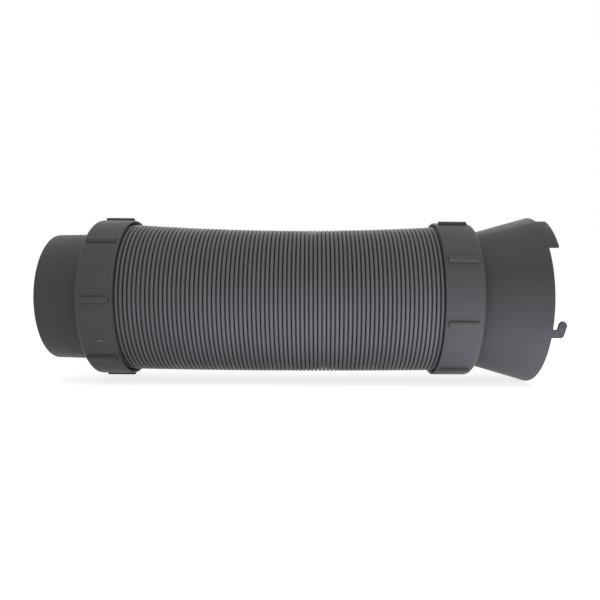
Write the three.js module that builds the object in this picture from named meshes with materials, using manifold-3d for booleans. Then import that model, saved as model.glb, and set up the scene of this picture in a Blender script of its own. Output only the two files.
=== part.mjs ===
// A large-bore ribbed air duct hose, pushed together, with a screw-on grip collar at each end. The left collar
// holds a plain round spigot, the right one a flared adapter with bayonet hooks. Millimetres, +Z up. The hose's
// axis runs along X, the spigot is at -X, and the lowest point of the flared rim lies on z = 0.
import * as THREE from "three";
import { mergeVertices } from "three/addons/utils/BufferGeometryUtils.js";
import Module from "manifold-3d";

const wasm = await Module();
wasm.setup();

// Hose: one right-handed spiral rib, wound round a smooth bore. Between the collars it draws in and sags a little.
const RIB_PITCH = 4.14; // from rib to rib, pushed together
const RIBS_SHOWN = 75; // turns between the two collars
const RIB_DEPTH = 6.0;
const HOSE_WALL = 1.1; // under the grooves
const CREST_RADIUS = 75.7; // over the ribs, in the collars
const WAIST = 1.6; // how far the ribs draw in, half way between the collars
const SAG = 3.0; // how far the hose hangs there
const BEND_RIBS = 15; // ribs at the middle that open when the hose bends
const HOSE_SIDES = 24; // points round a rib
const BORE_RING_EVERY = 5; // ribs from one ring of the bore to the next

// Grip collars: both have the same lugs and lip, and the right one is longer.
const COLLAR_WALL = 3.8;
const LEFT_COLLAR_LENGTH = 34.8;
const RIGHT_COLLAR_LENGTH = 38.8;
const LEFT_SHOULDER = 3.0; // rounding of the outer end
const RIGHT_SHOULDER = 6.4;
const LIP_THICKNESS = 3.0;
const MOUTH_CHAMFER = 2.4; // bevel round the hose's way in
const EDGE_CHAMFER = 0.7;
const LUG_COUNT = 8;
const LUG_WIDTH = 5.6;
const LUG_HEIGHT = 2.9;
const LUG_DRAFT = 0.3; // a lug's foot is this much wider on each side
const LUG_FROM_MOUTH = 3.2;
const LEFT_LUG_FROM_LIP = 3.2;
const RIGHT_LUG_FROM_LIP = 7.2;
const LEFT_LUG_ANGLE = -2.6; // degrees up from the near side, of one lug
const RIGHT_LUG_ANGLE = -17.4;

// Spigot adapter
const SPIGOT_LENGTH = 45.0; // outside the collar
const SPIGOT_STEP = 10.45; // from the edge of the flange in to the spigot
const SPIGOT_DRAFT = 1.0; // how much smaller its radius is at the end than at the collar
const SPIGOT_WALL = 2.5;
const SPIGOT_CHAMFER = 0.8;

// Flared adapter: a cone whose rim carries two tabs and two L-shaped hooks, a half turn apart.
const FLARE_LENGTH = 60.4; // outside the collar, to the rim
const NECK_STEP = 6.45; // from the edge of the flange in to the neck
const NECK_STRAIGHT = 1.5; // outside the collar, before the cone starts
const RIM_RADIUS = 86.2;
const FLARE_WALL = 2.4;
const TAB_LENGTH = 9.9;
const TAB_START = 35.7; // degrees up from the near side
const TAB_SPAN = 30.3;
const HOOK_REACH = 12.6; // beyond the rim
const HOOK_ANGLE = -22.4;
const HOOK_STEM_WIDTH = 7.8;
const HOOK_ARM_WIDTH = 7.5;
const HOOK_ARM_RISE = 12.2; // from the middle of the stem to the tip of the arm
const HOOK_LEAN = 9; // degrees that the arm leans away from the rim
const HOOK_CORNER = 3.0;
const BAYONET_COUNT = 2;

// Flange and sealing ring, the same at both ends
const FLANGE_THICKNESS = 3.0;
const SEAL_THICKNESS = 2.4;
const SEAL_WIDTH = 7.0;

const GAP = 0.3; // between pieces that lie against each other
const SWIVEL_CLEARANCE = 0.35; // round an adapter in its lip
const THREAD_CLEARANCE = 0.5; // round the ribs in a collar
const ROUND = 48; // sides of the moulded pieces

// Stations along X
const hoseShown = RIB_PITCH * RIBS_SHOWN;
const overall =
  SPIGOT_LENGTH + LEFT_COLLAR_LENGTH + hoseShown + RIGHT_COLLAR_LENGTH + FLARE_LENGTH + HOOK_REACH;
const spigotEnd = -overall / 2;
const leftOuter = spigotEnd + SPIGOT_LENGTH;
const leftMouth = leftOuter + LEFT_COLLAR_LENGTH;
const rightMouth = leftMouth + hoseShown;
const rightOuter = rightMouth + RIGHT_COLLAR_LENGTH;
const rim = rightOuter + FLARE_LENGTH;
const hookEnd = rim + HOOK_REACH;
const hoseMiddle = (leftMouth + rightMouth) / 2;

// Radii that fit one piece to another
const collarBore = CREST_RADIUS + THREAD_CLEARANCE;
const collarRadius = collarBore + COLLAR_WALL;
const flangeRadius = collarBore - SWIVEL_CLEARANCE;
const spigotRadius = flangeRadius - SPIGOT_STEP;
const neckRadius = flangeRadius - NECK_STEP;
const boreDepth = RIB_DEPTH + HOSE_WALL;
const axisHeight = RIM_RADIUS;

// The joint inside a collar, from its outer end inwards: lip, flange, seal, end of the hose.
const flangeFromOuter = LIP_THICKNESS + GAP;
const sealFromOuter = flangeFromOuter + FLANGE_THICKNESS + GAP;
const hoseFromOuter = sealFromOuter + SEAL_THICKNESS + GAP;
const hoseStart = leftOuter + hoseFromOuter;
const hoseEnd = rightOuter - hoseFromOuter;

const radians = THREE.MathUtils.degToRad;

// A closed solid of a geometry, with shared vertices and no triangle that has shrunk to a line.
function solidOf(geometry) {
  const bare = geometry.index ? geometry.toNonIndexed() : geometry.clone();
  bare.deleteAttribute("normal");
  bare.deleteAttribute("uv");
  const merged = mergeVertices(bare, 1e-4);
  const kept = [];
  for (let i = 0; i < merged.index.count; i += 3) {
    const [a, b, c] = [0, 1, 2].map((n) => merged.index.getX(i + n));
    if (a !== b && b !== c && c !== a) kept.push(a, b, c);
  }
  return new wasm.Manifold(
    new wasm.Mesh({
      numProp: 3,
      vertProperties: merged.attributes.position.array,
      triVerts: new Uint32Array(kept),
    }),
  );
}

// A named mesh of a solid.
function meshOf(name, solid, material) {
  const { vertProperties, triVerts, numProp } = solid.getMesh();
  const geometry = new THREE.BufferGeometry();
  const points = new Float32Array((vertProperties.length / numProp) * 3);
  for (let i = 0; i * numProp < vertProperties.length; i++)
    points.set(vertProperties.subarray(i * numProp, i * numProp + 3), i * 3);
  geometry.setAttribute("position", new THREE.BufferAttribute(points, 3));
  geometry.setIndex(new THREE.BufferAttribute(new Uint32Array(triVerts), 1));
  const flat = geometry.toNonIndexed();
  flat.computeVertexNormals();
  const mesh = new THREE.Mesh(flat, material);
  mesh.name = name;
  return mesh;
}

// A profile of [x, radius] points, closed on itself or on the axis, turned round the X axis.
function revolve(profile, sides = ROUND) {
  const turn = THREE.ShapeUtils.area(profile.map(([x, r]) => new THREE.Vector2(r, x)));
  const ordered = turn < 0 ? [...profile].reverse() : profile;
  const points = [...ordered, ordered[0]].map(([x, r]) => new THREE.Vector2(r, x));
  return solidOf(new THREE.LatheGeometry(points, sides).rotateZ(-Math.PI / 2));
}

// Points of a quarter round from one direction to the next, in [x, radius].
function corner(x, r, size, from, to, steps = 3) {
  return Array.from({ length: steps + 1 }, (_, i) => {
    const angle = radians(from + ((to - from) * i) / steps);
    return [x + size * Math.cos(angle), r + size * Math.sin(angle)];
  });
}

// --- Hose ---------------------------------------------------------------------------------------------------

// 0 in the collars, and 1 half way between them.
function slack(x) {
  const share = Math.min(1, Math.abs(x - hoseMiddle) / (hoseShown / 2));
  return 1 - share * share;
}

// The radius over the ribs
const crestRadius = (x) => CREST_RADIUS - WAIST * slack(x);

// The outside of the hose. Groove and crest are two threads of one spiral, so that a full turn on, each ring of
// points runs into the next ring of its own kind. A groove crosses the near side at the left collar's mouth.
function spiralBody(from, to) {
  const first = 2 * Math.floor((from - leftMouth) / RIB_PITCH - 2);
  const last = 2 * Math.ceil((to - leftMouth) / RIB_PITCH + 2);
  const positions = [];
  const push = (...p) => positions.push(...p);
  const at = (ring, side) => {
    const turn = side / HOSE_SIDES;
    const x = leftMouth + (ring / 2 + turn - 0.5) * RIB_PITCH;
    const r = crestRadius(x) - (ring % 2 === 0 ? RIB_DEPTH : 0);
    return [x, r * Math.cos(2 * Math.PI * turn), r * Math.sin(2 * Math.PI * turn)];
  };
  for (let ring = first; ring < last; ring++)
    for (let side = 0; side < HOSE_SIDES; side++) {
      const [a, b] = [at(ring, side), at(ring, side + 1)];
      const [c, d] = [at(ring + 1, side), at(ring + 1, side + 1)];
      push(...a, ...b, ...d, ...a, ...d, ...c);
    }
  for (const [ring, outward] of [[first, false], [last, true]]) {
    const hub = [leftMouth + (ring / 2 + (outward ? 1 : -1)) * RIB_PITCH, 0, 0];
    const edge = Array.from({ length: HOSE_SIDES + 1 }, (_, side) => at(ring, side));
    edge.push(at(ring + 1, 0), at(ring, 0));
    for (let i = 0; i + 1 < edge.length; i++)
      push(...hub, ...(outward ? [...edge[i], ...edge[i + 1]] : [...edge[i + 1], ...edge[i]]));
  }
  const geometry = new THREE.BufferGeometry();
  geometry.setAttribute("position", new THREE.BufferAttribute(new Float32Array(positions), 3));
  return solidOf(geometry);
}

// The way through the hose, with a ring of points every few ribs.
function boreBody(from, to) {
  const step = RIB_PITCH * BORE_RING_EVERY;
  const stations = [from];
  for (let x = from + step; x < to - step / 2; x += step) stations.push(x);
  stations.push(to);
  const wall = stations.map((x) => [x, crestRadius(x) - boreDepth]);
  return revolve([[from, 0], [to, 0], ...wall.reverse()], HOSE_SIDES);
}

// One length of the hose between two planes.
function hoseLength(from, to) {
  const outside = CREST_RADIUS + RIB_DEPTH;
  const slab = revolve([[from, 0], [to, 0], [to, outside], [from, outside]], HOSE_SIDES);
  const ribbed = spiralBody(from, to).intersect(slab).subtract(boreBody(from - RIB_PITCH, to + RIB_PITCH));
  return ribbed.warp((point) => {
    point[2] -= SAG * slack(point[0]);
  });
}

// --- Grip collars -------------------------------------------------------------------------------------------

// A raised bar along the collar, with a flat top and sloping sides.
function lug(from, length, angle) {
  const foot = collarRadius - COLLAR_WALL / 2;
  const top = collarRadius + LUG_HEIGHT;
  const shape = new THREE.Shape([
    new THREE.Vector2(-LUG_WIDTH / 2 - LUG_DRAFT, foot),
    new THREE.Vector2(LUG_WIDTH / 2 + LUG_DRAFT, foot),
    new THREE.Vector2(LUG_WIDTH / 2, top),
    new THREE.Vector2(-LUG_WIDTH / 2, top),
  ]);
  const bar = new THREE.ExtrudeGeometry(shape, { depth: length, bevelEnabled: false });
  return solidOf(bar.rotateY(Math.PI / 2).translate(from, 0, 0).rotateX(Math.PI - radians(angle)));
}

// A collar with its lip at x = outer and its mouth at x = mouth, on either side of it.
function collar(outer, mouth, shoulder, lipRadius, lugFromLip, lugAngle) {
  const inward = Math.sign(mouth - outer);
  const x = (distance) => outer + inward * distance;
  const length = Math.abs(mouth - outer);
  const round = corner(shoulder, collarRadius - shoulder, shoulder, 180, 90);
  const profile = [
    [0, lipRadius],
    ...round,
    [length - EDGE_CHAMFER, collarRadius],
    [length, collarRadius - EDGE_CHAMFER],
    [length, collarBore + MOUTH_CHAMFER],
    [length - MOUTH_CHAMFER, collarBore],
    [LIP_THICKNESS, collarBore],
    [LIP_THICKNESS, lipRadius],
  ].map(([distance, r]) => [x(distance), r]);
  const lugLength = length - LUG_FROM_MOUTH - lugFromLip;
  const lugStart = Math.min(x(lugFromLip), x(length - LUG_FROM_MOUTH));
  let body = revolve(profile);
  for (let i = 0; i < LUG_COUNT; i++)
    body = body.add(lug(lugStart, lugLength, lugAngle + (360 * i) / LUG_COUNT));
  return body;
}

// --- Adapters and seals -------------------------------------------------------------------------------------

// A round spigot with a flange that the collar's lip holds.
function spigotAdapter() {
  const inside = spigotRadius - SPIGOT_WALL;
  const endRadius = spigotRadius - SPIGOT_DRAFT;
  const flange = leftOuter + flangeFromOuter;
  return revolve([
    [spigotEnd, endRadius - SPIGOT_WALL],
    [spigotEnd, endRadius - SPIGOT_CHAMFER],
    [spigotEnd + SPIGOT_CHAMFER, endRadius],
    [leftOuter, spigotRadius],
    [flange, spigotRadius],
    [flange, flangeRadius],
    [flange + FLANGE_THICKNESS, flangeRadius],
    [flange + FLANGE_THICKNESS, inside],
    [leftOuter, inside],
  ]);
}

// Everything between two angles, from the axis out past the rim, that a tab is made of.
function tabWedge(start) {
  const reach = RIM_RADIUS * 1.2;
  const shape = new THREE.Shape([new THREE.Vector2(0, 0)]);
  const steps = 4;
  for (let i = 0; i <= steps; i++) {
    const angle = radians(start + (TAB_SPAN * i) / steps);
    shape.lineTo(-reach * Math.sin(angle), -reach * Math.cos(angle));
  }
  const wedge = new THREE.ExtrudeGeometry(shape, { depth: TAB_LENGTH + 1, bevelEnabled: false });
  return solidOf(wedge.rotateY(Math.PI / 2).translate(rim - 1, 0, 0));
}

// The outline of a hook, seen from outside: a stem out of the rim and an arm that turns up from its end.
function hookPrism(angle) {
  const [low, high] = [-HOOK_STEM_WIDTH / 2, HOOK_STEM_WIDTH / 2];
  const lean = radians(HOOK_LEAN);
  const tip = HOOK_ARM_WIDTH / 2;
  const [tipX, tipY] = [HOOK_REACH - tip, HOOK_ARM_RISE - tip];
  const cornerY = low + HOOK_CORNER;
  const cornerX = tipX - (tipY - cornerY) * Math.tan(lean) + (tip - HOOK_CORNER) / Math.cos(lean);
  const crotch = tipX - tip / Math.cos(lean) - (tipY - high) * Math.tan(lean);
  const shape = new THREE.Shape();
  shape.moveTo(-1, low);
  shape.lineTo(cornerX, low);
  shape.absarc(cornerX, cornerY, HOOK_CORNER, -Math.PI / 2, -lean);
  shape.absarc(tipX, tipY, tip, -lean, Math.PI - lean);
  shape.lineTo(crotch, high);
  shape.lineTo(-1, high);
  const [from, to] = [RIM_RADIUS * 0.8, RIM_RADIUS * 1.2];
  const prism = new THREE.ExtrudeGeometry(shape, { depth: to - from, bevelEnabled: false, curveSegments: 4 });
  const turn = radians(angle);
  const along = new THREE.Vector3(1, 0, 0);
  const round = new THREE.Vector3(0, Math.sin(turn), Math.cos(turn));
  const out = new THREE.Vector3(0, -Math.cos(turn), Math.sin(turn));
  prism.translate(rim, 0, from).applyMatrix4(new THREE.Matrix4().makeBasis(along, round, out));
  return solidOf(prism);
}

// The cone and, past its rim, a short tube that is cut away except at the tabs and hooks.
function flaredAdapter() {
  const flange = rightOuter - flangeFromOuter;
  const inside = neckRadius - FLARE_WALL;
  const cone = rightOuter + NECK_STRAIGHT;
  const whole = revolve([
    [flange - FLANGE_THICKNESS, inside],
    [flange - FLANGE_THICKNESS, flangeRadius],
    [flange, flangeRadius],
    [flange, neckRadius],
    [cone, neckRadius],
    [rim, RIM_RADIUS],
    [hookEnd, RIM_RADIUS],
    [hookEnd, RIM_RADIUS - FLARE_WALL],
    [rim, RIM_RADIUS - FLARE_WALL],
    [cone, inside],
  ]);
  let cut = revolve([
    [rim, RIM_RADIUS * 0.9],
    [rim, RIM_RADIUS * 1.1],
    [hookEnd + 1, RIM_RADIUS * 1.1],
    [hookEnd + 1, RIM_RADIUS * 0.9],
  ]);
  for (let i = 0; i < BAYONET_COUNT; i++) {
    const turn = (360 * i) / BAYONET_COUNT;
    cut = cut.subtract(tabWedge(TAB_START + turn)).subtract(hookPrism(HOOK_ANGLE + turn));
  }
  return whole.subtract(cut);
}

// A flat ring between a flange and the end of the hose.
function seal(from) {
  const outside = collarBore - GAP;
  const to = from + SEAL_THICKNESS;
  return revolve([[from, outside - SEAL_WIDTH], [from, outside], [to, outside], [to, outside - SEAL_WIDTH]]);
}

// --- Assembly -----------------------------------------------------------------------------------------------

const plastic = (color, roughness) => new THREE.MeshStandardMaterial({ color, roughness, metalness: 0 });
const collarPlastic = plastic(0x4f4f4d, 0.55);
const spigotPlastic = plastic(0x474744, 0.55);
const flarePlastic = plastic(0x4e4e50, 0.55);
const hosePlastic = plastic(0x66666a, 0.5);
const sealRubber = plastic(0x222222, 0.85);

const hose = new THREE.Group();
hose.position.z = axisHeight;

const stretchMiddle = (hoseShown - BEND_RIBS * RIB_PITCH) / 4; // half of the ribs that open on each side
const cuts = [leftMouth + stretchMiddle, hoseMiddle, rightMouth - stretchMiddle];
const hoseNames = ["hose_left_end", "hose_left_middle", "hose_right_middle", "hose_right_end"];
hoseNames.forEach((name, i) => {
  const from = i === 0 ? hoseStart : cuts[i - 1] + GAP / 2;
  const to = i === cuts.length ? hoseEnd : cuts[i] - GAP / 2;
  hose.add(meshOf(name, hoseLength(from, to), hosePlastic));
});

const leftLip = spigotRadius + SWIVEL_CLEARANCE;
const rightLip = neckRadius + SWIVEL_CLEARANCE;
const leftCollar = collar(
  leftOuter, leftMouth, LEFT_SHOULDER, leftLip, LEFT_LUG_FROM_LIP, LEFT_LUG_ANGLE,
);
const rightCollar = collar(
  rightOuter, rightMouth, RIGHT_SHOULDER, rightLip, RIGHT_LUG_FROM_LIP, RIGHT_LUG_ANGLE,
);
hose.add(
  meshOf("left_collar", leftCollar, collarPlastic),
  meshOf("right_collar", rightCollar, collarPlastic),
  meshOf("spigot_adapter", spigotAdapter(), spigotPlastic),
  meshOf("flared_adapter", flaredAdapter(), flarePlastic),
  meshOf("left_seal", seal(leftOuter + sealFromOuter), sealRubber),
  meshOf("right_seal", seal(rightOuter - sealFromOuter - SEAL_THICKNESS), sealRubber),
);

export default hose;
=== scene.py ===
import math

import bmesh
import bpy
from mathutils import Matrix, Vector


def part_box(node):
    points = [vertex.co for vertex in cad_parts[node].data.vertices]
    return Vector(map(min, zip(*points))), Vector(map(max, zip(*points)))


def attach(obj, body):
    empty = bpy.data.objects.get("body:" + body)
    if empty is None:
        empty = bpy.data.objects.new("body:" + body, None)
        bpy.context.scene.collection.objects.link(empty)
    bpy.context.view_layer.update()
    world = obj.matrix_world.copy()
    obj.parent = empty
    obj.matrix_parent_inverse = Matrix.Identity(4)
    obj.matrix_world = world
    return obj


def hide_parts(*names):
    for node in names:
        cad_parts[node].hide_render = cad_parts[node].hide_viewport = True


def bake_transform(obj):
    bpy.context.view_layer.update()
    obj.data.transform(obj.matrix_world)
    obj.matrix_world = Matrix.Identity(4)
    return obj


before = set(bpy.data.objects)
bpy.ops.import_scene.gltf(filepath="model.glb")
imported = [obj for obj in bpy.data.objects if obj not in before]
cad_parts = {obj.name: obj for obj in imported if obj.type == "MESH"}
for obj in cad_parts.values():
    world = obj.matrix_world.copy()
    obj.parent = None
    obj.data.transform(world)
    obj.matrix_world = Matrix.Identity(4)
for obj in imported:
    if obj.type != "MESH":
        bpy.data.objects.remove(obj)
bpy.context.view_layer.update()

bl_info = {
    "name": "Ribbed Duct Hose",
    "version": (1, 0, 0),
    "blender": (4, 5, 0),
    "location": "View3D > Sidebar > Duct Hose",
    "description": "Dresses a duct hose, its grip collars, its spigot and its flared adapter",
    "category": "Object",
}

MM = 0.001
TURN = 2 * math.pi
# Points closer than these are one point: in a turned or pushed mesh, and at the hose's seam
SAME_POINT = 1e-7
SEAM = 1e-6

# Attributes of the points: how deep in a groove one lies, which sets painted shade, and 1 on the
# gate mark, which gets a painted highlight
GROOVE_DEPTH = "groove_depth"
PAINTED_HIGHLIGHT = "torn"

# Stations along the hose, and the height of its axis, from the frame's own pieces
LEFT_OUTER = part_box("left_collar")[0][0]
LEFT_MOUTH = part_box("left_collar")[1][0]
RIGHT_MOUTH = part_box("right_collar")[0][0]
RIGHT_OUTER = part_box("right_collar")[1][0]
SPIGOT_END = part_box("spigot_adapter")[0][0]
HOOK_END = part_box("flared_adapter")[1][0]
HOSE_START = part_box("hose_left_end")[0][0]
HOSE_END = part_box("hose_right_end")[1][0]
HOSE_MIDDLE = (LEFT_MOUTH + RIGHT_MOUTH) / 2
AXIS_HEIGHT = (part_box("flared_adapter")[0][2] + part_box("flared_adapter")[1][2]) / 2


# --- Settings -----------------------------------------------------------------------------


def length(name, description, millimetres):
    return bpy.props.FloatProperty(
        name=name,
        description=description,
        default=millimetres * MM,
        unit="LENGTH",
        precision=5,
    )


def angle_of(name, description, degrees):
    return bpy.props.FloatProperty(
        name=name, description=description, default=math.radians(degrees), subtype="ANGLE"
    )


def power(name, watts):
    return bpy.props.FloatProperty(name=name, description="Power", default=watts, unit="POWER")


def number(name, description, default):
    return bpy.props.FloatProperty(name=name, description=description, default=default)


def count(name, description, default):
    return bpy.props.IntProperty(name=name, description=description, default=default)


def colour(name, description, hex_code):
    return bpy.props.StringProperty(name=name, description=description, default=hex_code)


class HoseSettings(bpy.types.PropertyGroup):
    """The spiral-ribbed hose."""

    pitch: length("Rib pitch", "From rib to rib, pushed together", 4.14)
    depth: length("Rib depth", "From crest to groove", 6.0)
    crest: length("Crest radius", "Over the ribs, in the collars", 75.7)
    waist: length("Waist", "How far the ribs draw in, half way along", 1.6)
    sag: length("Sag", "How far the hose hangs, half way along", 3.0)
    wall: length("Wall", "Thickness of the blown wall", 0.5)
    bend_ribs: count("Bend ribs", "Ribs that open in a bend", 15)
    sides: count("Sides", "Points round a rib", 108)
    samples: count("Samples", "Points across a rib", 12)
    colour: colour("Colour", "Blown polypropylene", "#706f70")


class CollarSettings(bpy.types.PropertyGroup):
    """The two grip collars."""

    radius: length("Radius", "Outside of the ring", 80.0)
    bore: length("Bore", "Radius that the ribs screw into", 76.2)
    left_shoulder: length("Left shoulder", "Rounding of the left collar's outer end", 3.0)
    right_shoulder: length("Right shoulder", "Rounding of the right collar's outer end", 6.4)
    lip: length("Lip", "Thickness of the lip that holds the adapter", 3.0)
    mouth: length("Mouth bevel", "Bevel round the hose's way in", 2.4)
    lug_length: length("Lug length", "Along the collar", 28.4)
    lug_width: length("Lug width", "Across the top", 5.6)
    lug_height: length("Lug height", "Above the ring", 2.9)
    lug_root: length("Lug root", "How far it is sunk into the ring", 2.0)
    lug_draft: length("Lug draft", "How much its sides slope out", 0.3)
    lug_round: length("Lug rounding", "Of its back's long edges", 2.2)
    lug_inset: length("Lug inset", "From the mouth to the lug", 3.2)
    lug_count: count("Lugs", "Grip lugs round a collar", 8)
    left_phase: angle_of("Left lug angle", "Up from the near side", -2.6)
    right_phase: angle_of("Right lug angle", "Up from the near side", -17.4)
    nub_length: length("Gate mark length", "A small raised mark on the left collar", 6.5)
    nub_width: length("Gate mark width", "Across", 2.0)
    nub_height: length("Gate mark height", "Of the whole mark, half of it sunk in", 1.6)
    nub_from_mouth: length("Gate mark from mouth", "From the mouth to its near end", 11.8)
    nub_angle: angle_of("Gate mark angle", "Up from the near side", -31.7)
    colour: colour("Colour", "Moulded ABS", "#545453")


class AdapterSettings(bpy.types.PropertyGroup):
    """The spigot adapter, the flared adapter and the seals."""

    clearance: length("Clearance", "Round an adapter in its lip", 0.35)
    gap: length("Gap", "Between flange, lip and seal", 0.3)
    flange: length("Flange", "Thickness of the flange behind the lip", 3.0)
    spigot_radius: length("Spigot radius", "Outside of the spigot, at the collar", 65.4)
    spigot_draft: length("Spigot draft", "How much smaller its radius is at the end", 1.0)
    spigot_wall: length("Spigot wall", "Thickness", 2.5)
    neck_radius: length("Neck radius", "Narrow end of the cone", 69.4)
    neck_straight: length("Neck", "Straight part outside the collar", 1.5)
    neck_round: length("Neck rounding", "Where the cone starts", 3.0)
    rim_radius: length("Rim radius", "Wide end of the cone", 86.2)
    flare_wall: length("Flare wall", "Thickness", 2.4)
    hook_reach: length("Hook reach", "Beyond the rim", 12.6)
    tab_length: length("Tab length", "Beyond the rim", 9.9)
    tab_start: angle_of("Tab start", "Up from the near side", 35.7)
    tab_span: angle_of("Tab span", "Round the rim", 30.3)
    hook_angle: angle_of("Hook angle", "Up from the near side", -22.4)
    stem_width: length("Hook stem", "Width", 7.8)
    arm_width: length("Hook arm", "Width", 7.5)
    arm_rise: length("Hook rise", "From the middle of the stem to the arm's tip", 12.2)
    hook_lean: angle_of("Hook lean", "Leans the arm away from the rim", 9)
    hook_corner: length("Hook corner", "Rounding of the corner", 3.0)
    colour_spigot: colour("Spigot colour", "Moulded ABS", "#50504e")
    colour_flare: colour("Flare colour", "Moulded ABS", "#494746")
    colour_seal: colour("Seal colour", "Rubber", "#202020")


class StageSettings(bpy.types.PropertyGroup):
    """Camera, light and floor."""

    distance: length("Camera distance", "From the hose's axis", 617.7)
    along: length("Camera along", "Along the hose, from the part's middle", 19.05)
    height: length("Camera height", "Above the hose's axis", -2.1)
    lens: bpy.props.FloatProperty(
        name="Lens", description="Focal length on a 36 mm sensor", default=34.78, unit="CAMERA"
    )
    shift: number("Shift", "Sideways shift of the frame", -0.0407)
    yaw: angle_of("Yaw", "Turn to the right", 0.69)
    roll: angle_of("Roll", "Lowers the hose's right end", 0.4)
    fill: number("Fill", "Light from all round", 0.34)
    top: power("Top light", 6.0)
    back: power("Back light", 4.0)
    floor_strip: number("Floor, strip", "Glow along the front of the hose", 3.7)
    floor_right: number("Floor, right", "Glow in front of the flared end", 3.75)
    floor_white: number("Floor, white", "How white it looks before light falls on it", 0.76)
    colour_light: colour("Light colour", "Of the fill and the lamps", "#fffdf7")
    colour_glow: colour("Glow colour", "Of the floor's glow", "#dfe5ff")
    colour_card: colour("Card colour", "Of the floor, in light", "#f4f4f4")


# --- Nodes --------------------------------------------------------------------------------


def linear(hex_code):
    """A linear colour, with alpha, from an sRGB hex code."""
    parts = [int(hex_code[i : i + 2], 16) / 255 for i in (1, 3, 5)]
    return [p / 12.92 if p <= 0.04045 else ((p + 0.055) / 1.055) ** 2.4 for p in parts] + [1.0]


def add(tree, kind, inputs=None, **settings):
    """Adds a node, sets it up, and links or sets its inputs."""
    node = tree.nodes.new(kind)
    for key, value in settings.items():
        setattr(node, key, value)
    for key, value in (inputs or {}).items():
        if isinstance(value, bpy.types.NodeSocket):
            tree.links.new(value, node.inputs[key])
        else:
            node.inputs[key].default_value = value
    return node


def calc(tree, operation, *values, clamp=False):
    """What a Math node makes of the values."""
    inputs = dict(enumerate(values))
    node = add(tree, "ShaderNodeMath", inputs, operation=operation, use_clamp=clamp)
    return node.outputs[0]


def map_range(tree, value, source, target, **settings):
    """A value taken from one (low, high) range to another."""
    inputs = {"Value": value}
    inputs["From Min"], inputs["From Max"] = source
    inputs["To Min"], inputs["To Max"] = target
    return add(tree, "ShaderNodeMapRange", inputs, **settings).outputs[0]


def geometry_tree(name, sockets):
    """A geometry node tree with the named inputs, and those inputs' sockets in the tree."""
    tree = bpy.data.node_groups.new(name, "GeometryNodeTree")
    tree.interface.new_socket("Geometry", in_out="OUTPUT", socket_type="NodeSocketGeometry")
    for socket, kind in sockets.items():
        tree.interface.new_socket(socket, in_out="INPUT", socket_type="NodeSocket" + kind)
    return tree, add(tree, "NodeGroupInput").outputs


def finish_tree(tree, geometry, material):
    """Ends a geometry node tree: instances made real, and one material."""
    real = add(tree, "GeometryNodeRealizeInstances", {0: geometry}).outputs[0]
    inputs = {"Geometry": real, "Material": material}
    painted = add(tree, "GeometryNodeSetMaterial", inputs).outputs[0]
    add(tree, "NodeGroupOutput", {"Geometry": painted})
    return tree


def run_tree(thing, tree, values):
    """Sets a tree's inputs and keeps what it makes of an object as the object's plain mesh."""
    modifier = thing.modifiers.new(tree.name, "NODES")
    modifier.node_group = tree
    for item in tree.interface.items_tree:
        if item.in_out == "INPUT" and item.name in values:
            modifier[item.identifier] = values[item.name]
    return settle(thing)


# --- Meshes -------------------------------------------------------------------------------


def settle(thing):
    """Replaces an object's mesh by what its modifiers make of it."""
    bpy.context.view_layer.update()
    seen = thing.evaluated_get(bpy.context.evaluated_depsgraph_get())
    mesh = bpy.data.meshes.new_from_object(seen)
    mesh.name = thing.name
    thing.modifiers.clear()
    thing.data = mesh
    return thing


def new_object(name, data):
    thing = bpy.data.objects.new(name, data)
    bpy.context.scene.collection.objects.link(thing)
    return thing


def mesh_object(name, points, faces):
    mesh = bpy.data.meshes.new(name)
    mesh.from_pydata(points, [], faces)
    mesh.update()
    return new_object(name, mesh)


def smooth(thing, degrees=35):
    """Shades an object smooth, with its corners left sharp."""
    for polygon in thing.data.polygons:
        polygon.use_smooth = True
    thing.data.set_sharp_from_angle(angle=math.radians(degrees))
    return thing


def soften(thing):
    """Rounds an object's sharp edges by half a millimetre."""
    soft = thing.modifiers.new("soft", "BEVEL")
    soft.width = 0.5 * MM
    soft.segments = 3
    soft.limit_method = "ANGLE"
    soft.angle_limit = math.radians(50)
    return settle(thing)


def faces_out(thing):
    """Turns a closed mesh's faces outwards."""
    work = bmesh.new()
    work.from_mesh(thing.data)
    bmesh.ops.remove_doubles(work, verts=work.verts, dist=SAME_POINT)
    bmesh.ops.recalc_face_normals(work, faces=work.faces)
    if work.calc_volume(signed=True) < 0:
        bmesh.ops.reverse_faces(work, faces=work.faces)
    work.to_mesh(thing.data)
    work.free()
    return thing


def directions(angle):
    """Out from the hose's axis, and up round it, at an angle up from the near side."""
    out = Vector((0, -math.cos(angle), math.sin(angle)))
    around = Vector((0, math.sin(angle), math.cos(angle)))
    return out, around


def fillet(outline, steps=5):
    """An outline of (x, r, rounding) corners as points, each corner rounded by a short arc."""
    points = []
    for i, (x, r, rounding) in enumerate(outline):
        here = Vector((x, r))
        if rounding <= 0:
            points.append(here)
            continue
        before = (Vector(outline[i - 1][:2]) - here).normalized()
        after = (Vector(outline[(i + 1) % len(outline)][:2]) - here).normalized()
        angle = before.angle(after)
        centre = here + (before + after).normalized() * rounding / math.sin(angle / 2)
        first = here + before * rounding / math.tan(angle / 2)
        last = here + after * rounding / math.tan(angle / 2)
        for step in range(steps + 1):
            part = (first - centre).lerp(last - centre, step / steps)
            points.append(centre + part.normalized() * rounding)
    return points


def turned(name, outline, sides=192):
    """A closed outline of (x, r, rounding) corners turned round the hose's axis."""
    profile = fillet(outline)
    corners = len(profile)
    points = []
    for side in range(sides):
        angle = TURN * side / sides
        for x, r in profile:
            points.append((x, -r * math.cos(angle), AXIS_HEIGHT + r * math.sin(angle)))
    faces = []
    for side in range(sides):
        here, there = side * corners, (side + 1) % sides * corners
        for i in range(corners):
            after = (i + 1) % corners
            faces.append((here + i, here + after, there + after, there + i))
    return faces_out(mesh_object(name, points, faces))


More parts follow.
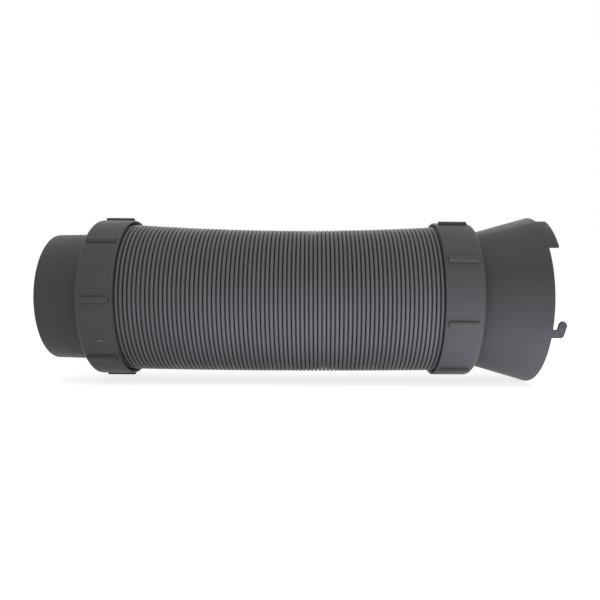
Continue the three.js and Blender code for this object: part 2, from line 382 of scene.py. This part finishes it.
def prism(name, outline, place, start, end):
    """An outline pushed from one level to another. place puts (a, b, level) in the part."""
    corners = len(outline)
    points = [place(a, b, level) for level in (start, end) for a, b in outline]
    faces = [tuple(range(corners)), tuple(range(corners, 2 * corners))]
    for i in range(corners):
        after = (i + 1) % corners
        faces.append((i, after, after + corners, i + corners))
    return faces_out(mesh_object(name, points, faces))


def carve(thing, tool):
    """Cuts one object by another, which is then deleted."""
    modifier = thing.modifiers.new("carve", "BOOLEAN")
    modifier.operation = "DIFFERENCE"
    modifier.solver = "EXACT"
    modifier.object = tool
    settle(thing)
    bpy.data.objects.remove(tool)


def finish_piece(thing, material, body=None):
    """Gives a piece its material, and lets it ride on a body."""
    thing.data.materials.clear()
    thing.data.materials.append(material)
    if body:
        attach(thing, body)


# --- Materials ----------------------------------------------------------------------------

CLOUD_SIZE = 45 * MM
CLOUD_RANGE = (0.3, 0.7)
GLOSS_SPREAD = 0.05


def plastic(name, hex_code, roughness, grain, depth, streak=(1, 1, 1), tint=0.05, specular=0.25):
    """A mass-coloured plastic: a faint cloudiness in its colour and gloss, and a fine grain
    (its size and depth in millimetres) that dulls its shine."""
    material = bpy.data.materials.get(name) or bpy.data.materials.new(name)
    material.use_nodes = True
    tree = material.node_tree
    tree.nodes.clear()
    place = add(tree, "ShaderNodeTexCoord").outputs["Object"]
    inputs = {"Vector": place, "Scale": streak}
    stretched = add(tree, "ShaderNodeMapping", inputs).outputs[0]
    inputs = {"Vector": stretched, "Scale": 1 / CLOUD_SIZE, "Detail": 3.0, "Roughness": 0.55}
    cloud = add(tree, "ShaderNodeTexNoise", inputs).outputs["Fac"]
    inputs = {"Vector": stretched, "Scale": 1 / (grain * MM), "Detail": 2.0}
    relief = add(tree, "ShaderNodeTexNoise", inputs).outputs["Fac"]
    ramp = add(tree, "ShaderNodeValToRGB", {"Fac": cloud})
    base = linear(hex_code)[:3]
    for end, position, factor in zip(
        ramp.color_ramp.elements, CLOUD_RANGE, (1 - tint, 1 + tint)
    ):
        end.position = position
        end.color = [min(1, c * factor) for c in base] + [1]
    gloss_range = (roughness - GLOSS_SPREAD, roughness + GLOSS_SPREAD)
    gloss = map_range(tree, cloud, CLOUD_RANGE, gloss_range)
    inputs = {"Height": relief, "Strength": 1.0, "Distance": depth * MM}
    bump = add(tree, "ShaderNodeBump", inputs).outputs[0]
    inputs = {
        "Base Color": ramp.outputs["Color"],
        "Roughness": gloss,
        "Normal": bump,
        "IOR": 1.49,
        "Specular IOR Level": specular,
    }
    shader = add(tree, "ShaderNodeBsdfPrincipled", inputs).outputs[0]
    add(tree, "ShaderNodeOutputMaterial", {"Surface": shader})
    return material


def shade_by(material, attribute, source, factor):
    """Multiplies a plastic's colour by up to factor, as an attribute of the mesh goes through
    the source range."""
    tree = material.node_tree
    base = tree.nodes["Principled BSDF"].inputs["Base Color"]
    value = add(tree, "ShaderNodeAttribute", attribute_name=attribute).outputs["Fac"]
    inputs = {0: base.links[0].from_socket, "Scale": map_range(tree, value, source, (1.0, factor))}
    shaded = add(tree, "ShaderNodeVectorMath", inputs, operation="SCALE").outputs[0]
    tree.links.new(shaded, base)
    return material


def blown_polypropylene(hex_code):
    """Extruded and blown polypropylene: satin, with faint streaks drawn out round the ribs.
    Its colour is darkened down in the grooves by painted shade, which makes them look deeper and
    darker than their shape alone does."""
    material = plastic(
        "blown_polypropylene", hex_code, roughness=0.46, grain=3.0, depth=0.03, streak=(3, 0.5, 0.5)
    )
    # Painted shade: the colour falls to 0.3 of itself down in the grooves.
    return shade_by(material, GROOVE_DEPTH, source=(0.03 * MM, 0.38 * MM), factor=0.3)


def moulded_abs(name, hex_code):
    """Injection-moulded ABS with a fine spark-eroded texture: satin, evenly coloured. A real
    texture is finer than 0.9 mm, and would not show."""
    return plastic(name, hex_code, roughness=0.5, grain=0.9, depth=0.02)


def seal_rubber(hex_code):
    """Die-cut rubber sheet: matt black, with a slight cloth-like unevenness."""
    return plastic(
        "die_cut_rubber", hex_code, roughness=0.85, grain=0.8, depth=0.03, tint=0.1, specular=0.3
    )


# --- Hose ---------------------------------------------------------------------------------

# How a rib rises from its groove: the share of the way to the crest, and of the rib's depth
RIB_CURVE = ((0.04, 0.48), (0.113, 0.85), (0.245, 0.935), (0.446, 0.973), (0.706, 0.993))
# How far the points crowd into the grooves, where the shape turns fastest
CROWDING = 0.8 / TURN
# Ribs from the bend to a border, at least, and from a border to where a stretch ends
MARGIN = 0.75


def spiral_tree():
    """The skin of a spiral-ribbed tube. A grid of turns by sides is wound into a tube on a
    slant, so that its seam closes one rib further on, and its radius rises and falls once a
    rib."""
    sockets = (
        "First Turn", "Turns", "Samples", "Sides", "Pitch", "Rib Depth", "Crest", "Waist", "Sag",
        "Mouth", "Middle", "Axis Height", "Material",
    )
    kinds = {"Samples": "Int", "Sides": "Int", "Material": "Material"}
    tree, get = geometry_tree(
        "Spiral Ribs", {socket: kinds.get(socket, "Float") for socket in sockets}
    )
    cells = calc(tree, "MULTIPLY", get["Turns"], get["Samples"])
    rows = calc(tree, "ADD", cells, 1.0)
    columns = calc(tree, "ADD", get["Sides"], 1.0)
    inputs = {"Size X": get["Turns"], "Size Y": 1.0, "Vertices X": rows, "Vertices Y": columns}
    grid = add(tree, "GeometryNodeMeshGrid", inputs).outputs["Mesh"]
    position = add(tree, "GeometryNodeInputPosition").outputs[0]
    flat = add(tree, "ShaderNodeSeparateXYZ", {0: position}).outputs

    # Where along the hose a point lies: rib counts the ribs from the left mouth.
    half = calc(tree, "MULTIPLY_ADD", get["Turns"], 0.5, get["First Turn"])
    even = calc(tree, "ADD", flat["X"], half)
    phase = calc(tree, "MULTIPLY", even, TURN)
    wave = calc(tree, "SINE", phase)
    rib = calc(tree, "MULTIPLY_ADD", wave, -CROWDING, even)
    turn = calc(tree, "ADD", flat["Y"], 0.5)
    along = calc(tree, "ADD", rib, flat["Y"])
    x = calc(tree, "MULTIPLY_ADD", along, get["Pitch"], get["Mouth"])

    # From 0 in a groove to 1 on a crest, and how high the curve then draws the rib
    from_groove = calc(tree, "PINGPONG", rib, 0.5)
    bead = calc(tree, "MULTIPLY", from_groove, 2.0, clamp=True)
    shape = add(tree, "ShaderNodeFloatCurve", {"Value": bead})
    curve = shape.mapping.curves[0]
    curve.points[0].location = (0.0, 0.0)
    curve.points[1].location = (1.0, 1.0)
    for point in RIB_CURVE:
        curve.points.new(*point)
    shape.mapping.update()
    drop = calc(tree, "SUBTRACT", 1.0, shape.outputs[0])
    cut = calc(tree, "MULTIPLY", drop, get["Rib Depth"])

    # The hose draws in and hangs between the collars.
    offset = calc(tree, "SUBTRACT", x, get["Middle"])
    reach = calc(tree, "SUBTRACT", get["Middle"], get["Mouth"])
    share = calc(tree, "DIVIDE", offset, reach)
    square = calc(tree, "MULTIPLY", share, share, clamp=True)
    slack = calc(tree, "SUBTRACT", 1.0, square)
    draw_in = calc(tree, "MULTIPLY", slack, get["Waist"])
    crest = calc(tree, "SUBTRACT", get["Crest"], draw_in)
    hang = calc(tree, "MULTIPLY", slack, get["Sag"])
    centre = calc(tree, "SUBTRACT", get["Axis Height"], hang)
    radius = calc(tree, "SUBTRACT", crest, cut)

    angle = calc(tree, "MULTIPLY", turn, TURN)
    cosine = calc(tree, "COSINE", angle)
    sine = calc(tree, "SINE", angle)
    y = calc(tree, "MULTIPLY", radius, cosine)
    z = calc(tree, "MULTIPLY_ADD", radius, sine, centre)
    point = add(tree, "ShaderNodeCombineXYZ", {"X": x, "Y": y, "Z": z}).outputs[0]

    # The material reads how deep in a groove a point lies, and paints shade into the grooves by it.
    known = add(
        tree,
        "GeometryNodeStoreNamedAttribute",
        {"Geometry": grid, "Name": GROOVE_DEPTH, "Value": cut},
        data_type="FLOAT",
        domain="POINT",
    ).outputs[0]
    wound = add(tree, "GeometryNodeSetPosition", {"Geometry": known, "Position": point})
    inputs = {"Geometry": wound.outputs[0], "Distance": SEAM}
    joined = add(tree, "GeometryNodeMergeByDistance", inputs).outputs[0]
    outward = add(tree, "GeometryNodeFlipFaces", {"Mesh": joined}).outputs[0]
    shaded = add(tree, "GeometryNodeSetShadeSmooth", {0: outward, "Shade Smooth": True})
    return finish_tree(tree, shaded.outputs[0], get["Material"])


class DUCT_OT_hose(bpy.types.Operator):
    """Makes the spiral-ribbed hose in three lengths: one at each end, and one across the middle"""

    bl_idname = "duct.hose"
    bl_label = "Hose"

    def execute(self, context):
        hose = context.scene.duct_hose
        tree = spiral_tree()
        material = blown_polypropylene(hose.colour)
        pitch = hose.pitch
        bend = hose.bend_ribs * pitch / 2
        bend_start, bend_end = HOSE_MIDDLE - bend, HOSE_MIDDLE + bend
        # A border between two lengths runs over one rib.
        left_border = math.floor((bend_start - LEFT_MOUTH) / pitch - MARGIN)
        right_border = math.ceil((bend_end - LEFT_MOUTH) / pitch + MARGIN)
        # The slant takes a length half a rib past its first and last turn.
        first = math.ceil((HOSE_START - LEFT_MOUTH) / pitch + 0.5)
        last = math.floor((HOSE_END - LEFT_MOUTH) / pitch - 0.5)
        left_still = LEFT_MOUTH + (left_border - MARGIN) * pitch
        right_still = LEFT_MOUTH + (right_border + MARGIN) * pitch
        lengths = (
            ("hose_stretch_left", first, left_border, "left_end", "left_middle",
             LEFT_MOUTH + pitch, left_still, ["hose_left_end"]),
            ("hose_bend_ribs", left_border, right_border, "left_middle", "right_middle",
             bend_start, bend_end, ["hose_left_middle", "hose_right_middle"]),
            ("hose_stretch_right", right_border, last, "right_middle", "right_end",
             right_still, RIGHT_MOUTH - pitch, ["hose_right_end"]),
        )
        for name, start, end, body_a, body_b, still_a, still_b, nodes in lengths:
            piece = run_tree(
                new_object(name, bpy.data.meshes.new(name)),
                tree,
                {
                    "First Turn": float(start),
                    "Turns": float(end - start),
                    "Samples": hose.samples,
                    "Sides": hose.sides,
                    "Pitch": pitch,
                    "Rib Depth": hose.depth,
                    "Crest": hose.crest,
                    "Waist": hose.waist,
                    "Sag": hose.sag,
                    "Mouth": LEFT_MOUTH,
                    "Middle": HOSE_MIDDLE,
                    "Axis Height": AXIS_HEIGHT,
                    "Material": material,
                },
            )
            wall = piece.modifiers.new("wall", "SOLIDIFY")
            wall.thickness = hose.wall
            wall.offset = -1
            outside = len(piece.data.vertices)
            settle(piece)
            # The bore gets none of the painted groove shade: it is all one grey.
            depth = piece.data.attributes[GROOVE_DEPTH].data
            for point in range(outside, len(depth)):
                depth[point].value = 0.0
            finish_piece(piece, material)
            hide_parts(*nodes)
            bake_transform(piece)
        return {"FINISHED"}


# --- Grip collars -------------------------------------------------------------------------


def lug_tree():
    """A ring of lugs round the hose's axis, added to the collar that they stand on."""
    tree, get = geometry_tree(
        "Lug Ring",
        {"Collar": "Object", "Lug": "Object", "Count": "Int", "Phase": "Float",
         "Axis Height": "Float", "Material": "Material"},
    )
    step = calc(tree, "DIVIDE", TURN, get["Count"])
    index = add(tree, "GeometryNodeInputIndex").outputs[0]
    angle = calc(tree, "MULTIPLY_ADD", index, step, get["Phase"])
    # A lug is drawn on the near side, at -Y, and a positive angle takes it up.
    turn = calc(tree, "MULTIPLY", angle, -1.0)
    rotation = add(tree, "ShaderNodeCombineXYZ", {"X": turn}).outputs[0]
    centre = add(tree, "ShaderNodeCombineXYZ", {"Z": get["Axis Height"]}).outputs[0]
    inputs = {"Count": get["Count"], "Position": centre}
    points = add(tree, "GeometryNodePoints", inputs).outputs[0]
    lug = add(tree, "GeometryNodeObjectInfo", {"Object": get["Lug"]}).outputs["Geometry"]
    inputs = {"Points": points, "Instance": lug, "Rotation": rotation}
    ring = add(tree, "GeometryNodeInstanceOnPoints", inputs).outputs[0]
    collar = add(tree, "GeometryNodeObjectInfo", {"Object": get["Collar"]}).outputs["Geometry"]
    both = add(tree, "GeometryNodeJoinGeometry")
    tree.links.new(collar, both.inputs[0])
    tree.links.new(ring, both.inputs[0])
    return finish_tree(tree, both.outputs[0], get["Material"])


def lug_bar(collar, start):
    """One lug on the near side, about the axis at height 0: a bar with a round back, sloping
    sides and soft ends."""
    foot = collar.radius - collar.lug_root
    top = collar.radius + collar.lug_height
    half = collar.lug_width / 2
    outline = [
        (-half - collar.lug_draft, foot, 0),
        (-half, top, collar.lug_round),
        (half, top, collar.lug_round),
        (half + collar.lug_draft, foot, 0),
    ]
    end = start + collar.lug_length
    bar = prism("lug", fillet(outline), lambda a, b, x: (x, -b, a), start, end)
    return smooth(soften(bar), 50)


def join_gate_mark(ring, collar, mouth):
    """Adds the small round-backed mark that the mould's gate leaves on the left collar."""
    mark = bmesh.new()
    bmesh.ops.create_uvsphere(mark, u_segments=24, v_segments=12, radius=0.5)
    # Blender gives a sphere's faces in another order on each run, so they are put in order.
    mark.verts.index_update()
    corners = len(mark.verts)
    mark.faces.sort(key=lambda face: face.verts[0].index * corners + face.verts[1].index)
    middle = mouth - collar.nub_from_mouth - collar.nub_length / 2
    centre = Vector((middle, 0, AXIS_HEIGHT))
    out, across = directions(collar.nub_angle)
    # The mark's points are flagged for a painted highlight, which makes them paler.
    torn = mark.verts.layers.float.new(PAINTED_HIGHLIGHT)
    for vertex in mark.verts:
        vertex[torn] = 1.0
        x, y, z = vertex.co
        along = Vector((x * collar.nub_length, 0, 0))
        radial = out * (collar.radius + z * collar.nub_height) + across * (y * collar.nub_width)
        vertex.co = centre + along + radial
    mark.from_mesh(ring.data)
    mark.to_mesh(ring.data)
    mark.free()
    smooth(ring)


class DUCT_OT_collars(bpy.types.Operator):
    """Makes the two grip collars with their rings of lugs"""

    bl_idname = "duct.collars"
    bl_label = "Grip collars"

    def execute(self, context):
        collar = context.scene.duct_collar
        fit = context.scene.duct_adapter
        tree = lug_tree()
        # The gate mark is painted paler than its collar: a painted highlight.
        material = moulded_abs("moulded_abs_collar", collar.colour)
        shade_by(material, PAINTED_HIGHLIGHT, source=(0.0, 1.0), factor=2.3)
        inner_round, lip_round, mouth_round = 0.3 * MM, 0.5 * MM, 0.8 * MM
        ends = (
            ("left", LEFT_OUTER, LEFT_MOUTH, collar.left_shoulder, fit.spigot_radius,
             collar.left_phase),
            ("right", RIGHT_OUTER, RIGHT_MOUTH, collar.right_shoulder, fit.neck_radius,
             collar.right_phase),
        )
        for side, outer, mouth, shoulder, held, phase in ends:
            inward = 1 if mouth > outer else -1
            lip = held + fit.clearance
            outline = [
                (outer, lip, lip_round),
                (outer, collar.radius, shoulder),
                (mouth, collar.radius, mouth_round),
                (mouth, collar.bore + collar.mouth, inner_round),
                (mouth - inward * collar.mouth, collar.bore, inner_round),
                (outer + inward * collar.lip, collar.bore, inner_round),
                (outer + inward * collar.lip, lip, inner_round),
            ]
            ring = smooth(turned(side + "_ring", outline))
            if side == "left":
                join_gate_mark(ring, collar, mouth)
            near = mouth - inward * collar.lug_inset
            far = mouth - inward * (collar.lug_inset + collar.lug_length)
            lug = lug_bar(collar, min(near, far))
            name = side + "_grip_collar"
            piece = run_tree(
                new_object(name, bpy.data.meshes.new(name)),
                tree,
                {
                    "Collar": ring,
                    "Lug": lug,
                    "Count": collar.lug_count,
                    "Phase": phase,
                    "Axis Height": AXIS_HEIGHT,
                    "Material": material,
                },
            )
            for part in (ring, lug):
                bpy.data.objects.remove(part)
            finish_piece(piece, material, side + "_end")
            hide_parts(side + "_collar")
        return {"FINISHED"}


# --- Adapters and seals -------------------------------------------------------------------

# Roundings of the adapters' flanges: at the outer edge, at the root, and in the bore
FLANGE_ROUND, ROOT_ROUND, BORE_ROUND = 0.4 * MM, 0.2 * MM, 0.5 * MM


class DUCT_OT_spigot(bpy.types.Operator):
    """Makes the round spigot with its flange"""

    bl_idname = "duct.spigot"
    bl_label = "Spigot adapter"

    def execute(self, context):
        fit = context.scene.duct_adapter
        collar = context.scene.duct_collar
        inside = fit.spigot_radius - fit.spigot_wall
        flange = LEFT_OUTER + collar.lip + fit.gap
        edge = collar.bore - fit.clearance
        end_round, end_round_inside = 1.2 * MM, 0.6 * MM
        outline = [
            (SPIGOT_END, inside - fit.spigot_draft, end_round_inside),
            (SPIGOT_END, fit.spigot_radius - fit.spigot_draft, end_round),
            (LEFT_OUTER, fit.spigot_radius, 0),
            (flange, fit.spigot_radius, ROOT_ROUND),
            (flange, edge, FLANGE_ROUND),
            (flange + fit.flange, edge, FLANGE_ROUND),
            (flange + fit.flange, inside, BORE_ROUND),
            (LEFT_OUTER, inside, 0),
        ]
        piece = smooth(turned("round_spigot", outline))
        material = moulded_abs("moulded_abs_spigot", fit.colour_spigot)
        finish_piece(piece, material, "spigot")
        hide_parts("spigot_adapter")
        return {"FINISHED"}


def hook_outline(fit, behind):
    """A hook laid flat, seen from outside, from a little behind the rim: a stem, and an arm
    turned up at its end."""
    low, high = -fit.stem_width / 2, fit.stem_width / 2
    lean, corner = fit.hook_lean, fit.hook_corner
    tip = fit.arm_width / 2
    tip_x, tip_y = fit.hook_reach - tip, fit.arm_rise - tip
    corner_y = low + corner
    corner_x = tip_x - (tip_y - corner_y) * math.tan(lean) + (tip - corner) / math.cos(lean)
    crotch = tip_x - tip / math.cos(lean) - (tip_y - high) * math.tan(lean)
    points = [(-behind, low)]
    steps = 12
    for x, y, r, start, end in (
        (corner_x, corner_y, corner, -math.pi / 2, -lean),
        (tip_x, tip_y, tip, -lean, math.pi - lean),
    ):
        for step in range(steps + 1):
            angle = start + (end - start) * step / steps
            points.append((x + r * math.cos(angle), y + r * math.sin(angle)))
    return points + [(crotch, high), (-behind, high)]


class DUCT_OT_flare(bpy.types.Operator):
    """Makes the flared adapter with its tabs and bayonet hooks"""

    bl_idname = "duct.flare"
    bl_label = "Flared adapter"

    def execute(self, context):
        fit = context.scene.duct_adapter
        collar = context.scene.duct_collar
        flange = RIGHT_OUTER - collar.lip - fit.gap
        inside = fit.neck_radius - fit.flare_wall
        edge = collar.bore - fit.clearance
        cone = RIGHT_OUTER + fit.neck_straight
        rim = HOOK_END - fit.hook_reach
        rim_inside = fit.rim_radius - fit.flare_wall
        sides = 256
        outline = [
            (flange - fit.flange, inside, BORE_ROUND),
            (flange - fit.flange, edge, FLANGE_ROUND),
            (flange, edge, FLANGE_ROUND),
            (flange, fit.neck_radius, ROOT_ROUND),
            (cone, fit.neck_radius, fit.neck_round),
            (rim, fit.rim_radius, 0),
            (HOOK_END, fit.rim_radius, 0),
            (HOOK_END, rim_inside, 0),
            (rim, rim_inside, 0),
            (cone, inside, fit.neck_round),
        ]
        piece = turned("flared_cone", outline, sides)

        # The tabs and hooks are what a cutter, itself cut by their shapes, leaves of the rim.
        # Each tool reaches well through what it cuts.
        spare = 1 * MM
        low, high = fit.rim_radius * 0.9, fit.rim_radius * 1.1
        ends = (rim, HOOK_END + spare)
        outline = [(ends[0], low, 0), (ends[0], high, 0), (ends[1], high, 0), (ends[1], low, 0)]
        cutter = turned("cutter", outline, sides)
        reach, steps = fit.rim_radius * 1.3, 12
        hook_low, hook_high = fit.rim_radius * 0.8, fit.rim_radius * 1.2
        for half_turn in (0, math.pi):
            start = fit.tab_start + half_turn
            fan = [(0, 0)]
            for step in range(steps + 1):
                angle = start + fit.tab_span * step / steps
                fan.append((reach * math.cos(angle), reach * math.sin(angle)))
            wedge = prism(
                "wedge",
                fan,
                lambda a, b, x: (x, -a, AXIS_HEIGHT + b),
                rim - spare,
                rim + fit.tab_length,
            )
            carve(cutter, wedge)
            out, around = directions(fit.hook_angle + half_turn)
            centre = Vector((rim, 0, AXIS_HEIGHT))
            hook = prism(
                "hook",
                hook_outline(fit, spare),
                lambda a, b, r: tuple(centre + Vector((a, 0, 0)) + around * b + out * r),
                hook_low,
                hook_high,
            )
            carve(cutter, hook)
        carve(piece, cutter)
        smooth(soften(piece), 40)
        material = moulded_abs("moulded_abs_flare", fit.colour_flare)
        finish_piece(piece, material, "flare")
        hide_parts("flared_adapter")
        return {"FINISHED"}


class DUCT_OT_seals(bpy.types.Operator):
    """Gives the two sealing rings their rubber"""

    bl_idname = "duct.seals"
    bl_label = "Sealing rings"

    def execute(self, context):
        rubber = seal_rubber(context.scene.duct_adapter.colour_seal)
        for name in ("left_seal", "right_seal"):
            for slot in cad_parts[name].material_slots:
                slot.material = rubber
        return {"FINISHED"}


# --- Stage --------------------------------------------------------------------------------

# Half the floor's width, in metres
FLOOR_HALF = 6
WHITE = (1, 1, 1, 1)


def area_light(name, place, aim, size, watts, hex_code):
    light = bpy.data.lights.new(name, "AREA")
    light.shape = "RECTANGLE"
    light.size, light.size_y = size
    light.energy = watts
    light.color = linear(hex_code)[:3]
    thing = new_object(name, light)
    thing.location = place
    ahead = Vector(aim) - Vector(place)
    thing.rotation_euler = ahead.to_track_quat("-Z", "Y").to_euler()


def make_camera(stage):
    camera = bpy.data.cameras.new("camera")
    camera.lens = stage.lens
    camera.shift_x = stage.shift
    camera.clip_start = 0.01
    thing = new_object("camera", camera)
    right = Vector((math.cos(stage.yaw), -math.sin(stage.yaw), 0))
    up = Vector((0, 0, 1))
    ahead = up.cross(right)
    turned_right = right * math.cos(stage.roll) + up * math.sin(stage.roll)
    turned_up = up * math.cos(stage.roll) - right * math.sin(stage.roll)
    place = Matrix((turned_right, turned_up, -ahead)).transposed().to_4x4()
    place.translation = (stage.along, -stage.distance, AXIS_HEIGHT + stage.height)
    thing.matrix_world = place
    bpy.context.scene.camera = thing


def backdrop_mix(tree, light, white):
    """White for the rays that show the backdrop, which are the camera's and those in gloss
    and glass, and light for the others."""
    path = add(tree, "ShaderNodeLightPath").outputs
    direct = calc(tree, "ADD", path["Is Camera Ray"], path["Is Glossy Ray"])
    shows = calc(tree, "ADD", direct, path["Is Transmission Ray"], clamp=True)
    return add(tree, "ShaderNodeMixShader", {0: shows, 1: light, 2: white}).outputs[0]


def floor_material(stage):
    """Matt white card, lit from below like a light table: brightest in front of the hose's
    right end, from where the window lights the photographed one. It looks white, with a soft
    shadow under the hose."""
    material = bpy.data.materials.new("matt_white_card")
    material.use_nodes = True
    tree = material.node_tree
    tree.nodes.clear()
    card = add(tree, "ShaderNodeBsdfDiffuse", {"Color": linear(stage.colour_card)}).outputs[0]
    place = add(tree, "ShaderNodeTexCoord").outputs["Object"]
    pools = []
    for centre, reach, strength in (
        ((0.0, -0.17, 0), (0.25, 0.11, 1), stage.floor_strip),
        ((0.28, -0.16, 0), (0.22, 0.22, 1), stage.floor_right),
    ):
        value = place
        for operation, operand in (("SUBTRACT", centre), ("DIVIDE", reach)):
            inputs = {0: value, 1: operand}
            value = add(tree, "ShaderNodeVectorMath", inputs, operation=operation).outputs[0]
        away = add(tree, "ShaderNodeVectorMath", {0: value}, operation="LENGTH")
        distance = away.outputs["Value"]
        pools.append(
            map_range(tree, distance, (0, 1), (strength, 0), interpolation_type="SMOOTHSTEP")
        )
    inputs = {"Color": linear(stage.colour_glow), "Strength": calc(tree, "ADD", *pools)}
    glow = add(tree, "ShaderNodeEmission", inputs).outputs[0]
    inputs = {"Color": WHITE, "Strength": stage.floor_white}
    white = add(tree, "ShaderNodeEmission", inputs).outputs[0]
    seen = backdrop_mix(tree, glow, white)
    both = add(tree, "ShaderNodeAddShader", {0: card, 1: seen}).outputs[0]
    add(tree, "ShaderNodeOutputMaterial", {"Surface": both})
    return material


class DUCT_OT_stage(bpy.types.Operator):
    """Makes the pale floor, the soft light and the camera"""

    bl_idname = "duct.stage"
    bl_label = "Stage"

    def execute(self, context):
        scene = context.scene
        stage = scene.duct_stage
        scene.view_settings.view_transform = "Standard"
        make_camera(stage)
        corners = [
            (x * FLOOR_HALF, y * FLOOR_HALF, 0) for x, y in ((-1, -1), (1, -1), (1, 1), (-1, 1))
        ]
        floor = mesh_object("floor", corners, [(0, 1, 2, 3)])
        floor.data.materials.append(floor_material(stage))

        world = scene.world or bpy.data.worlds.new("studio")
        scene.world = world
        world.use_nodes = True
        tree = world.node_tree
        tree.nodes.clear()
        inputs = {"Color": linear(stage.colour_light), "Strength": stage.fill}
        fill = add(tree, "ShaderNodeBackground", inputs).outputs[0]
        white = add(tree, "ShaderNodeBackground", {"Color": WHITE, "Strength": 1.0}).outputs[0]
        add(tree, "ShaderNodeOutputWorld", {"Surface": backdrop_mix(tree, fill, white)})

        middle = (HOSE_MIDDLE, 0, AXIS_HEIGHT)
        for name, place, size, watts in (
            ("top", (0.1, -0.4, 1.6), (1.6, 1.2), stage.top),
            ("back", (0, 1.4, 0.6), (1.6, 1.0), stage.back),
        ):
            area_light(name, place, middle, size, watts, stage.colour_light)
        return {"FINISHED"}


# --- Add-on -------------------------------------------------------------------------------


class DUCT_PT_panel(bpy.types.Panel):
    """Lists the hose's pieces"""

    bl_idname = "DUCT_PT_panel"
    bl_label = "Duct Hose"
    bl_space_type = "VIEW_3D"
    bl_region_type = "UI"
    bl_category = "Duct Hose"

    def draw(self, context):
        for operator in OPERATORS:
            self.layout.operator(operator.bl_idname)


SETTINGS = {
    "duct_hose": HoseSettings,
    "duct_collar": CollarSettings,
    "duct_adapter": AdapterSettings,
    "duct_stage": StageSettings,
}
OPERATORS = (
    DUCT_OT_hose,
    DUCT_OT_collars,
    DUCT_OT_spigot,
    DUCT_OT_flare,
    DUCT_OT_seals,
    DUCT_OT_stage,
)


def register():
    for cls in (*SETTINGS.values(), *OPERATORS, DUCT_PT_panel):
        bpy.utils.register_class(cls)
    for name, group in SETTINGS.items():
        setattr(bpy.types.Scene, name, bpy.props.PointerProperty(type=group))


def unregister():
    for name in SETTINGS:
        delattr(bpy.types.Scene, name)
    for cls in (DUCT_PT_panel, *reversed(OPERATORS), *reversed(SETTINGS.values())):
        bpy.utils.unregister_class(cls)


def main():
    register()
    for operator in OPERATORS:
        group, name = operator.bl_idname.split(".")
        getattr(getattr(bpy.ops, group), name)()


if __name__ == "__main__":
    main()
